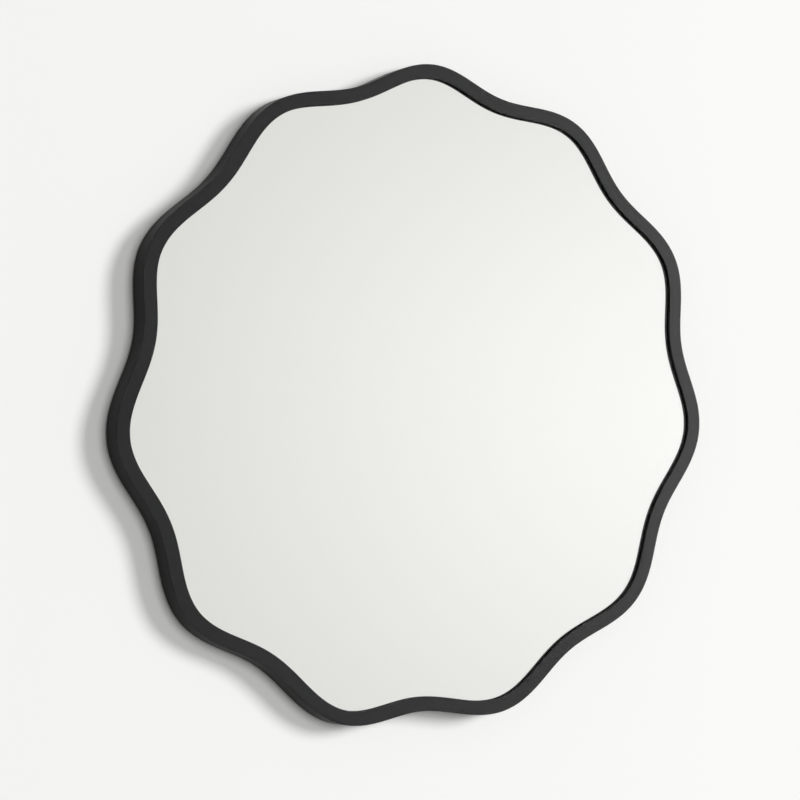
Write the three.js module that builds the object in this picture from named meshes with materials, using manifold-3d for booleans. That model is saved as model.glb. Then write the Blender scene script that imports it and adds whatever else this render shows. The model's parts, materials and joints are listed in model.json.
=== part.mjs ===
// Wall mirror with a wavy, irregular outline of eleven lobes.
//
// A black lacquered frame ring holds a silvered glass pane in a rebate behind a thin lip. The pane
// lies on a bedding tape, and foam strips bond it to a fibreboard back. Angle brackets screwed to
// the board and to the frame's inner wall hold the stack in place. Two strap hangers with swinging
// wire rings carry the mirror, and four bumpers keep the frame off the wall.
//
// Millimetres. +Z is up, the mirror faces -Y, and the origin is the middle of the overall box.
// Depths are counted from the frame's front face towards the wall.

import * as THREE from 'three';
import { mergeVertices } from 'three/addons/utils/BufferGeometryUtils.js';
import Module from 'manifold-3d';

// ---------------------------------------------------------------- driving dimensions

// Outer edge of the frame, seen from the front
const MEAN_REACH = 446; // from the outline's centre to the middle of the wave
const WAVE_HEIGHT = 27; // crest to hollow of the even wave

// The lobes, anticlockwise from the right: the angle in degrees of each crest and of the hollow
// after it, and how far in millimetres each one stands outside (+) or inside (-) the even wave.
// Four of the crests have a wall bumper behind them.
const LOBES = [
  { crest: 27, crestOff: 3, hollow: 42.5, hollowOff: 6 },
  { crest: 57.5, crestOff: 4, hollow: 73.5, hollowOff: 5, bumper: 'upper_right' },
  { crest: 88, crestOff: 1, hollow: 104.5, hollowOff: 0 },
  { crest: 120, crestOff: -7, hollow: 137.5, hollowOff: -8, bumper: 'upper_left' },
  { crest: 155, crestOff: -8, hollow: 171, hollowOff: -8 },
  { crest: 189.5, crestOff: 2, hollow: 205, hollowOff: 5 },
  { crest: 221.5, crestOff: 9, hollow: 237.5, hollowOff: 9, bumper: 'lower_left' },
  { crest: 254, crestOff: 9, hollow: 270.5, hollowOff: 4 },
  { crest: 286, crestOff: -2, hollow: 304, hollowOff: -6 },
  { crest: 320.5, crestOff: -11, hollow: 337, hollowOff: -8, bumper: 'lower_right' },
  { crest: 355, crestOff: -4, hollow: 370.5, hollowOff: -1 },
];

// Frame section
const FACE_WIDTH = 19;
const FRAME_DEPTH = 36;
const FRAME_WALL = 11; // solid wood between the outer edge and the rebate
const LIP_THICKNESS = 3; // in front of the pane
const ARRIS_RADIUS = 1.5; // front edges
const REAR_CHAMFER = 1;

// Layers behind the lip, front to back
const SEAT_GAP = 0.1; // between flat faces that touch
const TAPE_THICKNESS = 0.5;
const TAPE_WIDTH = 4.5;
const TAPE_SETBACK = 1.5; // from the lip's inner edge
const PANE_THICKNESS = 4;
const SILVER_THICKNESS = 0.3; // silver with its protective back paint
const FOAM_THICKNESS = 1.5;
const FOAM_WIDTH = 19;
const FOAM_STRIPS = 5;
const FOAM_PITCH = 120;
const FOAM_MARGIN = 80; // from the strips' ends to the mean outline
const BOARD_THICKNESS = 9;
const EDGE_CLEARANCE = 1; // pane, silver and board to the rebate wall

// Angle brackets, one at each hollow of the wave
const BRACKET_WIDTH = 16;
const BRACKET_SHEET = 1.6;
const BRACKET_BOARD_LEG = 20;
const BRACKET_WALL_LEG = 15;
const BRACKET_BEND = 2.4; // outer radius of the bend
const BRACKET_HOLE_FROM_END = 6.5;
const BRACKET_CLEARANCE = 0.3; // wall leg to the frame's wall

// Pan-head wood screws
const SCREW_RADIUS = 1.75;
const SCREW_LENGTH = 9; // under the head
const SCREW_TIP = 2.5;
const HEAD_RADIUS = 3.5;
const HEAD_HEIGHT = 2;
const HEAD_ROUNDING = 1; // taken off the rim of the head
const HOLE_CLEARANCE = 0.3; // on the radius, in every hole that takes a screw
const PILOT_EXTRA = 0.5; // pilot hole beyond the screw's tip
const TRIM = 1; // how far a cutter or a blank runs past the surface that it makes

// Strap hangers on the back board
const HANGER_SPACING = 400;
const HANGER_HEIGHT = 230; // swing axis above the middle of the mirror
const STRAP_WIDTH = 18;
const STRAP_SHEET = 1.5;
const STRAP_LENGTH = 62; // swing axis to the lower end
const STRAP_END_RADIUS = 7;
const STRAP_ROLL_END = 200; // where the rolled eye stops, degrees round the swing axis
const STRAP_SCREW_FROM_END = 12.9; // lower screw to the strap's lower end
const HEAD_TO_RING = 1.5; // upper screw head to the ring where it lies on the strap

// Wire rings
const WIRE_RADIUS = 1.8;
const RING_CLEARANCE = 0.2; // wire to the rolled eye
const RING_SIDE_GAP = 2; // strap edge to the ring's leg
const RING_CORNER = 3.5; // centre-line radius beside the straight bar
const RING_LEG = 4; // straight leg between corner and bow
const RING_BUTT_GAP = 0.4; // where the wire's two ends meet, inside the rolled eye

// Bumpers on the frame's back
const BUMPER_RADIUS = 4.5;
const BUMPER_HEIGHT = 2.5;
const BUMPER_ROUNDING = 0.7;

// Fineness of round forms
const FRAME_STEPS = 8; // from a crest to the next hollow
const LAYER_STEPS = 6; // the same, on the hidden layers
const ARRIS_STEPS = 2;
const SCREW_SIDES = 8;
const BEND_STEPS = 2;
const WIRE_SIDES = 10;
const RING_STEPS = 36;
const RING_CURVE_STEPS = 6;
const ROLL_STEPS = 14;
const STRAP_END_STEPS = 3;
const BUMPER_SIDES = 16;
const SAME_POINT = 1e-4; // points closer than this are one point

// ---------------------------------------------------------------- worked-out stations

const overallDepth = FRAME_DEPTH + SEAT_GAP + BUMPER_HEIGHT;
const tapeFront = LIP_THICKNESS + SEAT_GAP;
const paneFront = tapeFront + TAPE_THICKNESS + SEAT_GAP;
const silverFront = paneFront + PANE_THICKNESS + SEAT_GAP;
const foamFront = silverFront + SILVER_THICKNESS + SEAT_GAP;
const boardFront = foamFront + FOAM_THICKNESS + SEAT_GAP;
const boardRear = boardFront + BOARD_THICKNESS;
const layerInset = FRAME_WALL + EDGE_CLEARANCE;
const holeRadius = SCREW_RADIUS + HOLE_CLEARANCE;

// World Y of a depth behind the front face
const atDepth = (depth) => depth - overallDepth / 2;

// ---------------------------------------------------------------- outline

// Crests and hollows in order round the mirror: angle in radians, reach in millimetres
const turns = LOBES.flatMap((lobe) => [
  { angle: THREE.MathUtils.degToRad(lobe.crest), reach: MEAN_REACH + WAVE_HEIGHT / 2 + lobe.crestOff },
  { angle: THREE.MathUtils.degToRad(lobe.hollow), reach: MEAN_REACH - WAVE_HEIGHT / 2 + lobe.hollowOff },
]);

// Point of the outer edge between one crest or hollow and the next (share 0 to 1), moved inwards
// square to the edge by inset. The reach eases from one to the other as half a cosine wave.
function edgePoint(index, share, inset) {
  const from = turns[index];
  const to = turns[(index + 1) % turns.length];
  const span = to.angle - from.angle + (index + 1 === turns.length ? 2 * Math.PI : 0);
  const angle = from.angle + span * share;
  const rise = to.reach - from.reach;
  const reach = from.reach + (rise * (1 - Math.cos(Math.PI * share))) / 2;
  const slope = (rise / 2) * Math.sin(Math.PI * share) * (Math.PI / span);
  const tangent = new THREE.Vector2(
    slope * Math.cos(angle) - reach * Math.sin(angle),
    slope * Math.sin(angle) + reach * Math.cos(angle),
  ).normalize();
  return new THREE.Vector2(
    reach * Math.cos(angle) - tangent.y * inset,
    reach * Math.sin(angle) + tangent.x * inset,
  );
}

// Closed outline parallel to the frame's outer edge, as points in the mirror's plane
function outline(inset, stepsPerTurn) {
  const points = [];
  for (let index = 0; index < turns.length; index += 1) {
    for (let step = 0; step < stepsPerTurn; step += 1) {
      points.push(edgePoint(index, step / stepsPerTurn, inset));
    }
  }
  return points;
}

// The origin lies in the middle of the outline's box
const middle = new THREE.Box2().setFromPoints(outline(0, FRAME_STEPS)).getCenter(new THREE.Vector2());

// Place at a crest or hollow, where the edge runs square to the line from the outline's centre
function placeAt(turn, inset, depth) {
  const station = new THREE.Group();
  const reach = turn.reach - inset;
  station.position.set(
    reach * Math.cos(turn.angle) - middle.x,
    atDepth(depth),
    reach * Math.sin(turn.angle) - middle.y,
  );
  station.rotation.y = Math.PI / 2 - turn.angle; // local +Z points outwards, local +Y to the wall
  station.updateMatrixWorld(true);
  return station;
}

// ---------------------------------------------------------------- solids

const wasm = await Module();
wasm.setup();

function toSolid(geometry) {
  const bare = new THREE.BufferGeometry();
  bare.setAttribute('position', geometry.getAttribute('position').clone());
  if (geometry.index) bare.setIndex(geometry.index.clone());
  const merged = mergeVertices(bare, SAME_POINT);
  return new wasm.Manifold(new wasm.Mesh({
    numProp: 3,
    vertProperties: new Float32Array(merged.getAttribute('position').array),
    triVerts: new Uint32Array(merged.index.array),
  }));
}

function toGeometry(solid) {
  const mesh = solid.getMesh();
  const geometry = new THREE.BufferGeometry();
  geometry.setAttribute('position', new THREE.BufferAttribute(new Float32Array(mesh.vertProperties), 3));
  geometry.setIndex(new THREE.BufferAttribute(new Uint32Array(mesh.triVerts), 1));
  geometry.computeVertexNormals();
  return geometry;
}

function cut(geometry, cutters) {
  let solid = toSolid(geometry);
  for (const cutter of cutters) solid = solid.subtract(toSolid(cutter));
  return toGeometry(solid);
}

// Round hole along local Y, from just above its mouth at the origin down to -depth
function holeCutter(depth) {
  const cutter = new THREE.CylinderGeometry(holeRadius, holeRadius, depth + TRIM, SCREW_SIDES);
  return cutter.translate(0, (TRIM - depth) / 2, 0);
}

// Plate in the mirror's plane between two depths, with round screw holes
function plate(points, front, rear, holes = []) {
  const shape = new THREE.Shape(points.map((point) => point.clone().sub(middle)));
  for (const hole of holes) {
    shape.holes.push(new THREE.Path().absarc(hole.x, hole.z, holeRadius, 0, 2 * Math.PI, true));
  }
  const settings = { depth: rear - front, bevelEnabled: false, curveSegments: SCREW_SIDES / 2 };
  const geometry = new THREE.ExtrudeGeometry(shape, settings);
  geometry.rotateX(Math.PI / 2); // the plate's plane becomes XZ and its thickness runs to -Y
  return geometry.translate(0, atDepth(rear), 0);
}

// Ring with a section of (inset, depth) points, swept round the wavy outline
function sweptRing(section, stepsPerTurn) {
  const rails = section.map((corner) => outline(corner.x, stepsPerTurn));
  const stations = rails[0].length;
  const corners = section.length;
  const positions = [];
  const index = [];
  for (let station = 0; station < stations; station += 1) {
    section.forEach((corner, rail) => {
      const point = rails[rail][station];
      positions.push(point.x - middle.x, atDepth(corner.y), point.y - middle.y);
    });
    for (let corner = 0; corner < corners; corner += 1) {
      const here = station * corners + corner;
      const beside = station * corners + ((corner + 1) % corners);
      const next = ((station + 1) % stations) * corners + corner;
      const nextBeside = ((station + 1) % stations) * corners + ((corner + 1) % corners);
      index.push(here, next, beside, beside, next, nextBeside);
    }
  }
  const geometry = new THREE.BufferGeometry();
  geometry.setAttribute('position', new THREE.Float32BufferAttribute(positions, 3));
  geometry.setIndex(index);
  geometry.computeVertexNormals();
  return geometry;
}

// ---------------------------------------------------------------- materials

const finish = (color, roughness, metalness = 0) => (
  new THREE.MeshStandardMaterial({ color, roughness, metalness })
);
const blackLacquer = finish('#26262a', 0.45);
const clearGlass = finish('#dfe6e1', 0.05);
clearGlass.transparent = true;
clearGlass.opacity = 0.35;
const silver = finish('#e4e8e4', 0.04, 1);
const blackFoam = finish('#161616', 0.95);
const whiteFoam = finish('#d9d9d4', 0.95);
const fibreboard = finish('#8a6a49', 0.8);
const zincSteel = finish('#b9bcc0', 0.38, 1);
const nickelSteel = finish('#c9c6bd', 0.25, 1);
const rubber = finish('#1d1d1e', 0.85);

const mirror = new THREE.Group();

function addMesh(parent, name, geometry, material) {
  const mesh = new THREE.Mesh(geometry, material);
  mesh.name = name;
  parent.add(mesh);
  return mesh;
}

// ---------------------------------------------------------------- fasteners

// Pan-head screw along local Y: seat of the head at the origin, tip at -SCREW_LENGTH
function screwGeometry() {
  const profile = [
    [0, -SCREW_LENGTH],
    [SCREW_RADIUS, SCREW_TIP - SCREW_LENGTH],
    [SCREW_RADIUS, SEAT_GAP],
    [HEAD_RADIUS, SEAT_GAP],
    [HEAD_RADIUS, HEAD_HEIGHT - HEAD_ROUNDING],
    [HEAD_RADIUS - HEAD_ROUNDING, HEAD_HEIGHT],
    [0, HEAD_HEIGHT],
  ];
  return new THREE.LatheGeometry(profile.map(([x, y]) => new THREE.Vector2(x, y)), SCREW_SIDES);
}

// ---------------------------------------------------------------- angle brackets

const bracketBoardHole = BRACKET_BOARD_LEG - BRACKET_HOLE_FROM_END;
const bracketWallHole = BRACKET_WALL_LEG - BRACKET_HOLE_FROM_END;

// Bent corner at the origin: one leg runs back along +Y against the frame's wall, the other runs
// inwards along -Z on the board
function bracketGeometry() {
  const half = BRACKET_WIDTH / 2;
  const bend = BRACKET_BEND;
  const profile = new THREE.Shape(); // x is inwards from the wall, y is back from the board
  profile.moveTo(0, BRACKET_WALL_LEG);
  profile.lineTo(0, bend);
  profile.absarc(bend, bend, bend, Math.PI, 1.5 * Math.PI, false);
  profile.lineTo(BRACKET_BOARD_LEG, 0);
  profile.lineTo(BRACKET_BOARD_LEG, BRACKET_SHEET);
  profile.lineTo(bend, BRACKET_SHEET);
  profile.absarc(bend, bend, bend - BRACKET_SHEET, 1.5 * Math.PI, Math.PI, true);
  profile.lineTo(BRACKET_SHEET, BRACKET_WALL_LEG);
  const settings = { depth: BRACKET_WIDTH, bevelEnabled: false, curveSegments: BEND_STEPS };
  const angle = new THREE.ExtrudeGeometry(profile, settings);
  angle.translate(0, 0, -half).rotateY(Math.PI / 2); // inwards becomes -Z, the width runs along X
  const boardHole = holeCutter(2 * BRACKET_SHEET)
    .translate(0, BRACKET_SHEET, -bracketBoardHole);
  const wallHole = holeCutter(2 * BRACKET_SHEET)
    .rotateX(-Math.PI / 2)
    .translate(0, bracketWallHole, -BRACKET_SHEET);
  return cut(angle, [boardHole, wallHole]);
}

const bracketDepth = boardRear + SEAT_GAP;
const hollows = turns.filter((turn, index) => index % 2 === 1);
const stations = hollows.map((turn) => placeAt(turn, FRAME_WALL + BRACKET_CLEARANCE, bracketDepth));

const bracketBody = bracketGeometry();
const screwBody = screwGeometry();
const boardHoles = [];
const framePilots = [];

stations.forEach((station, index) => {
  const number = String(index + 1).padStart(2, '0');
  mirror.add(station);
  addMesh(station, `bracket_${number}`, bracketBody.clone(), zincSteel);

  const boardScrew = addMesh(station, `bracket_board_screw_${number}`, screwBody.clone(), zincSteel);
  boardScrew.position.set(0, BRACKET_SHEET, -bracketBoardHole);

  const frameScrew = addMesh(station, `bracket_frame_screw_${number}`, screwBody.clone(), zincSteel);
  frameScrew.position.set(0, bracketWallHole, -BRACKET_SHEET);
  frameScrew.rotation.x = -Math.PI / 2;

  station.updateMatrixWorld(true);
  boardHoles.push(boardScrew.getWorldPosition(new THREE.Vector3()));
  framePilots.push(holeCutter(SCREW_LENGTH + PILOT_EXTRA).applyMatrix4(frameScrew.matrixWorld));
});

// ---------------------------------------------------------------- strap hangers

const rollRadius = WIRE_RADIUS + RING_CLEARANCE; // inside of the rolled eye
const swingHeight = STRAP_SHEET + rollRadius; // swing axis above the back of the strap
const ringHalfWidth = STRAP_WIDTH / 2 + RING_SIDE_GAP + WIRE_RADIUS; // to the wire's centre line
const ringDrop = RING_CORNER + RING_LEG + ringHalfWidth + WIRE_RADIUS; // swing axis to lowest point
const upperScrewDrop = ringDrop + HEAD_RADIUS + HEAD_TO_RING;
const strapScrewDrops = [upperScrewDrop, STRAP_LENGTH - STRAP_SCREW_FROM_END];

// Strap with its swing axis along X through the origin and its back on the plane y = -swingHeight
function strapGeometry() {
  const rollEnd = THREE.MathUtils.degToRad(STRAP_ROLL_END);
  const outerRadius = rollRadius + STRAP_SHEET;
  const profile = new THREE.Shape(); // x is up, y is away from the board
  profile.moveTo(-STRAP_LENGTH - TRIM, -swingHeight);
  profile.lineTo(0, -swingHeight);
  profile.absarc(0, 0, outerRadius, -Math.PI / 2, rollEnd, false);
  profile.absarc(0, 0, rollRadius, rollEnd, -Math.PI / 2, true);
  profile.lineTo(-STRAP_LENGTH - TRIM, -rollRadius);
  const blankWidth = STRAP_WIDTH + 2 * TRIM;
  const settings = { depth: blankWidth, bevelEnabled: false, curveSegments: ROLL_STEPS / 2 };
  const strip = new THREE.ExtrudeGeometry(profile, settings);
  strip.translate(0, 0, -blankWidth / 2).rotateY(-Math.PI / 2);

  // The blank is trimmed to its plan, which has a rounded lower end
  const half = STRAP_WIDTH / 2;
  const corner = STRAP_END_RADIUS;
  const top = outerRadius + TRIM;
  const plan = new THREE.Shape();
  plan.moveTo(-half, top);
  plan.lineTo(-half, corner - STRAP_LENGTH);
  plan.absarc(corner - half, corner - STRAP_LENGTH, corner, Math.PI, 1.5 * Math.PI, false);
  plan.absarc(half - corner, corner - STRAP_LENGTH, corner, 1.5 * Math.PI, 2 * Math.PI, false);
  plan.lineTo(half, top);
  const planSettings = { depth: 2 * top, bevelEnabled: false, curveSegments: STRAP_END_STEPS };
  const planBlock = new THREE.ExtrudeGeometry(plan, planSettings);
  planBlock.rotateX(Math.PI / 2).translate(0, top, 0);

  const holes = strapScrewDrops.map((drop) => (
    holeCutter(2 * STRAP_SHEET).translate(0, STRAP_SHEET - swingHeight, -drop)
  ));
  const trimmed = toGeometry(toSolid(strip).intersect(toSolid(planBlock)));
  return cut(trimmed, holes);
}

// Wire ring hanging from its straight bar, which lies on the swing axis
function ringGeometry() {
  const half = ringHalfWidth;
  const path = new THREE.Path();
  path.moveTo(RING_BUTT_GAP / 2, 0);
  path.lineTo(half - RING_CORNER, 0);
  path.absarc(half - RING_CORNER, -RING_CORNER, RING_CORNER, Math.PI / 2, 0, true);
  path.lineTo(half, -RING_CORNER - RING_LEG);
  path.absarc(0, -RING_CORNER - RING_LEG, half, 0, -Math.PI, true);
  path.lineTo(-half, -RING_CORNER);
  path.absarc(RING_CORNER - half, -RING_CORNER, RING_CORNER, Math.PI, Math.PI / 2, true);
  path.lineTo(-RING_BUTT_GAP / 2, 0);
  const wire = new THREE.CurvePath();
  const corners = path.getPoints(RING_CURVE_STEPS).map((point) => new THREE.Vector3(point.x, 0, point.y));
  for (let index = 1; index < corners.length; index += 1) {
    if (corners[index].distanceTo(corners[index - 1]) > SAME_POINT) {
      wire.add(new THREE.LineCurve3(corners[index - 1], corners[index]));
    }
  }
  const section = new THREE.Shape().absarc(0, 0, WIRE_RADIUS, 0, 2 * Math.PI, false);
  return new THREE.ExtrudeGeometry(section, {
    steps: RING_STEPS,
    extrudePath: wire,
    curveSegments: WIRE_SIDES / 2,
  });
}

const strapBody = strapGeometry();
const ringBody = ringGeometry();

for (const [side, x] of [['left', -HANGER_SPACING / 2], ['right', HANGER_SPACING / 2]]) {
  const hanger = new THREE.Group();
  hanger.position.set(x, atDepth(boardRear + SEAT_GAP + swingHeight), HANGER_HEIGHT);
  mirror.add(hanger);
  addMesh(hanger, `hanger_strap_${side}`, strapBody.clone(), nickelSteel);
  addMesh(hanger, `hanger_ring_${side}`, ringBody.clone(), nickelSteel);
  strapScrewDrops.forEach((drop, index) => {
    const place = ['upper', 'lower'][index];
    const screw = addMesh(hanger, `hanger_screw_${side}_${place}`, screwBody.clone(), zincSteel);
    screw.position.set(0, STRAP_SHEET - swingHeight, -drop);
    hanger.updateMatrixWorld(true);
    boardHoles.push(screw.getWorldPosition(new THREE.Vector3()));
  });
}

// ---------------------------------------------------------------- frame ring

// Section of the frame, as (inset from the outer edge, depth behind the front face)
function frameSection() {
  const arris = new THREE.Path();
  arris.absarc(ARRIS_RADIUS, ARRIS_RADIUS, ARRIS_RADIUS, Math.PI, 1.5 * Math.PI, false);
  const outerArris = arris.getPoints(ARRIS_STEPS);
  const innerArris = outerArris.map((point) => new THREE.Vector2(FACE_WIDTH - point.x, point.y));
  return [
    new THREE.Vector2(0, FRAME_DEPTH - REAR_CHAMFER),
    ...outerArris,
    ...innerArris.reverse(),
    new THREE.Vector2(FACE_WIDTH, LIP_THICKNESS),
    new THREE.Vector2(FRAME_WALL, LIP_THICKNESS),
    new THREE.Vector2(FRAME_WALL, FRAME_DEPTH),
    new THREE.Vector2(REAR_CHAMFER, FRAME_DEPTH),
  ];
}

addMesh(mirror, 'frame', cut(sweptRing(frameSection(), FRAME_STEPS), framePilots), blackLacquer);

// ---------------------------------------------------------------- layers in the rebate

const tapeInset = FACE_WIDTH - TAPE_SETBACK;
const tapeSection = [
  new THREE.Vector2(tapeInset - TAPE_WIDTH, tapeFront),
  new THREE.Vector2(tapeInset, tapeFront),
  new THREE.Vector2(tapeInset, tapeFront + TAPE_THICKNESS),
  new THREE.Vector2(tapeInset - TAPE_WIDTH, tapeFront + TAPE_THICKNESS),
];
const layerOutline = outline(layerInset, LAYER_STEPS);
addMesh(mirror, 'bedding_tape', sweptRing(tapeSection, LAYER_STEPS), blackFoam);
addMesh(mirror, 'mirror_glass', plate(layerOutline, paneFront, paneFront + PANE_THICKNESS), clearGlass);
addMesh(mirror, 'silver_layer', plate(layerOutline, silverFront, silverFront + SILVER_THICKNESS), silver);
addMesh(mirror, 'backing_board', plate(layerOutline, boardFront, boardRear, boardHoles), fibreboard);

for (let strip = 0; strip < FOAM_STRIPS; strip += 1) {
  const x = (strip - (FOAM_STRIPS - 1) / 2) * FOAM_PITCH;
  const length = 2 * Math.sqrt((MEAN_REACH - FOAM_MARGIN) ** 2 - x ** 2);
  const foam = addMesh(
    mirror,
    `foam_strip_${strip + 1}`,
    new THREE.BoxGeometry(FOAM_WIDTH, FOAM_THICKNESS, length),
    whiteFoam,
  );
  foam.position.set(x, atDepth(foamFront + FOAM_THICKNESS / 2), 0);
}

// ---------------------------------------------------------------- wall bumpers

function bumperGeometry() {
  const rounding = new THREE.Path();
  rounding.moveTo(0, 0);
  rounding.lineTo(BUMPER_RADIUS, 0);
  rounding.absarc(
    BUMPER_RADIUS - BUMPER_ROUNDING,
    BUMPER_HEIGHT - BUMPER_ROUNDING,
    BUMPER_ROUNDING,
    0,
    Math.PI / 2,
    false,
  );
  rounding.lineTo(0, BUMPER_HEIGHT);
  return new THREE.LatheGeometry(rounding.getPoints(1), BUMPER_SIDES);
}

LOBES.forEach((lobe, index) => {
  if (!lobe.bumper) return;
  const station = placeAt(turns[2 * index], FRAME_WALL / 2, FRAME_DEPTH + SEAT_GAP);
  mirror.add(station);
  addMesh(station, `bumper_${lobe.bumper}`, bumperGeometry(), rubber);
});

export default mirror;
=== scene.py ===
"""A wavy-edged wall mirror in a black lacquered frame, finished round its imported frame."""

import json
import math

import bmesh
import bpy
from bpy.props import FloatProperty, FloatVectorProperty, IntProperty, PointerProperty
from mathutils import Matrix, Vector


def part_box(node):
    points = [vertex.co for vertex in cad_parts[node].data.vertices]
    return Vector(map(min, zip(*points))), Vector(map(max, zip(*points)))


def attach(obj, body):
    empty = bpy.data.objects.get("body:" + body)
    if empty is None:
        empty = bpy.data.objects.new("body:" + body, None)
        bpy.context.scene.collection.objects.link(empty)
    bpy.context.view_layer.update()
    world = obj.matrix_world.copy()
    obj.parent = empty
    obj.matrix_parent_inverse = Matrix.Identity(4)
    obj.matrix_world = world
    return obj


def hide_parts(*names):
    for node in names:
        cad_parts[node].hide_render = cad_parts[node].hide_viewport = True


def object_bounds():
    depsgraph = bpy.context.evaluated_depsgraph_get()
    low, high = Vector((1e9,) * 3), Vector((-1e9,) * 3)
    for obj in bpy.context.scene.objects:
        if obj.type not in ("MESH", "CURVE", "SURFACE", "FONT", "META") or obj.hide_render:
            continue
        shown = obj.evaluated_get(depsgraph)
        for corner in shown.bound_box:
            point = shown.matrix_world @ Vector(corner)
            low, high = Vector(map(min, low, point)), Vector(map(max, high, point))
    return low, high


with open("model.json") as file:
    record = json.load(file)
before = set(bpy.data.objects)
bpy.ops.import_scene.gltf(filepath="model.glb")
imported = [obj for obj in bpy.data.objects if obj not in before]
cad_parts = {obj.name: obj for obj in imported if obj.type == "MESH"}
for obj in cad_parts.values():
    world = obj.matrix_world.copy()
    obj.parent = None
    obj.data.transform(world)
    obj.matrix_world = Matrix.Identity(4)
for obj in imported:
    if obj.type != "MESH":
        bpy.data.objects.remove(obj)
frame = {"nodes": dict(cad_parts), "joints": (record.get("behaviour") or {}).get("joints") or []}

bl_info = {
    "name": "Wavy Wall Mirror",
    "version": (1, 0, 0),
    "blender": (4, 5, 0),
    "location": "View3D > Sidebar > Wall Mirror",
    "description": "Models and finishes a wavy-edged wall mirror, its fixings and a plain studio",
    "category": "Add Mesh",
}

NODES = frame["nodes"]
JOINTS = {joint["name"]: joint for joint in frame["joints"]}
CAD_BOX = [list(corner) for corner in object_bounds()]

MIRROR_BODY = "mirror"
SIDES = ("left", "right")
BRACKETS = [f"{number:02d}" for number in range(1, 12)]
BUMPERS = ("upper_left", "upper_right", "lower_left", "lower_right")
FOAM_STRIPS = [f"foam_strip_{number}" for number in range(1, 6)]

BLANK_REACH = 0.45  # rim of the round blank that is laid on the wavy edge
SAME_LEVEL = 2e-5  # two depths nearer than this are one
SAME_POINT = 1e-6
SHARP_ANGLE = math.radians(32)
LARGEST_CURVED = 8  # a face with more corners than this is flat and shades flat
HOLE_SIDES = 32
BRACKET_BEND_STEPS = 8
ROLL_STEPS = 30
WIRE_SIDES = 20
CORNER_STEPS = 10
BOW_STEPS = 40
SCREW_SIDES = 24
HEAD_STEPS = 5
THREAD_SIDES = 12
BUMPER_SIDES = 48
RIM_STEPS = 5
SHEEN_RIM = (0.8, 1.1)  # where the sheen fades out, as the square of the share of its radius
FACING_FRONT = -0.9  # depth component of a normal that faces the front

CROSS_REACH = 0.0019  # middle of the screw's recess to an arm's tip
CROSS_ARM = 0.00046  # half the width of an arm
CROSS_DEPTH = 0.0012
CROSS_FLOOR = 0.45  # share of the recess's outline that its floor has
CROSS_MOUTH = 0.96  # the same just under the crown
CROWN_SHARE = 0.93  # share of the flat crown that its inner ring has
HEAD_EDGE = 0.0001  # edge under the head, and the recess's edge
NECK = ((0.0001, 1.05), (-0.0003, 0.95))  # heights, and shares of the thread's radius
NECK_END = -0.0011
POINT = ((1.0, 0.95), (0.4, 0.5), (0.0, 0.08))  # shares of the point's length and of the core
THREAD_ROOT = 0.9  # share of the core's radius
THREAD_FLANK = 0.27  # half the thread's foot, as a share of the pitch
THREAD_START = 0.08  # share of the thread's height that it starts with
THREAD_STOP = 0.3  # end of the thread above the tip, as a share of the pitch
THREAD_POINT = 0.15  # share of the thread's radius that is left at the tip

HALF_TURN = math.pi
QUARTER_TURN = math.pi / 2
GOLDEN_ANGLE = math.radians(137.5)
ACROSS = Vector((1, 0, 0))
TO_WALL = Vector((0, 1, 0))
UP = Vector((0, 0, 1))


# ---------------------------------------------------------------- settings


def length(name, description, default):
    return FloatProperty(
        name=name, description=description, default=default, min=0.0, precision=5, unit="LENGTH"
    )


def colour(name, description, default, top=1.0):
    return FloatVectorProperty(
        name=name, description=description, default=default, min=0.0, max=top, size=3, subtype="COLOR"
    )


def amount(name, description, default, top=10.0):
    return FloatProperty(name=name, description=description, default=default, min=0.0, max=top)


def angle(name, description, degrees):
    return FloatProperty(
        name=name, description=description, default=math.radians(degrees), subtype="ANGLE"
    )


def count(name, description, default):
    return IntProperty(name=name, description=description, default=default, min=2)


class FrameRingSettings(bpy.types.PropertyGroup):
    """Sizes and colours of the lacquered frame ring."""

    face_width: length("Face width", "Outer edge to the lip's inner edge", 0.0198)
    wall: length("Wall", "Thickness of the side wall behind the lip", 0.011)
    lip: length("Lip thickness", "Front face to the back of the lip", 0.003)
    arris: length("Arris radius", "Rounding of the front arrises", 0.0008)
    rear_chamfer: length("Rear chamfer", "Taken off the outer rear edge", 0.001)
    edge_break: length("Edge break", "Rounding of every other edge", 0.0003)
    support: length("Support distance", "Edge loop beside each rounding", 0.0003)
    arris_steps: count("Arris steps", "Facets round a front arris", 6)
    deep_black: colour("Deep black", "Lacquer where it lies thick", (0.0115, 0.0115, 0.0119))
    lifted_black: colour("Lifted black", "Lacquer where it lies thin", (0.0162, 0.0162, 0.0166))
    # Lighter black on the front arrises: real burnishing, and partly a painted highlight line.
    burnished_highlight_black: colour("Rubbed black", "Burnished lacquer on the arrises", (0.024, 0.024, 0.0245))


class PlateSettings(bpy.types.PropertyGroup):
    """Sizes and colours of the pane, its silvering and the backing board."""

    inset: length("Inset", "Frame's outer edge to the plates' edge", 0.012)
    glass_edge: length("Glass edge", "Seamed edge of the pane", 0.0004)
    silver_edge: length("Silver edge", "Edge of the silvering", 0.00004)
    board_edge: length("Board edge", "Broken edge of the board", 0.0006)
    glass_clear: colour("Clear glass", "Tint where the glass is clearest", (0.994, 0.995, 0.990))
    glass_tinted: colour("Tinted glass", "Tint where the glass is greenest", (0.988, 0.992, 0.985))
    silver: colour("Silver", "Reflecting face", (0.964, 0.959, 0.952))
    silver_thin: colour("Thin silver", "Reflecting face where it is thinnest", (0.958, 0.953, 0.945))
    back_paint: colour("Back paint", "Protective paint behind the silver", (0.17, 0.18, 0.185))
    board_dark: colour("Board dark", "Dark fibres of the board", (0.17, 0.10, 0.052))
    board_light: colour("Board light", "Pale fibres of the board", (0.36, 0.245, 0.14))


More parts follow.
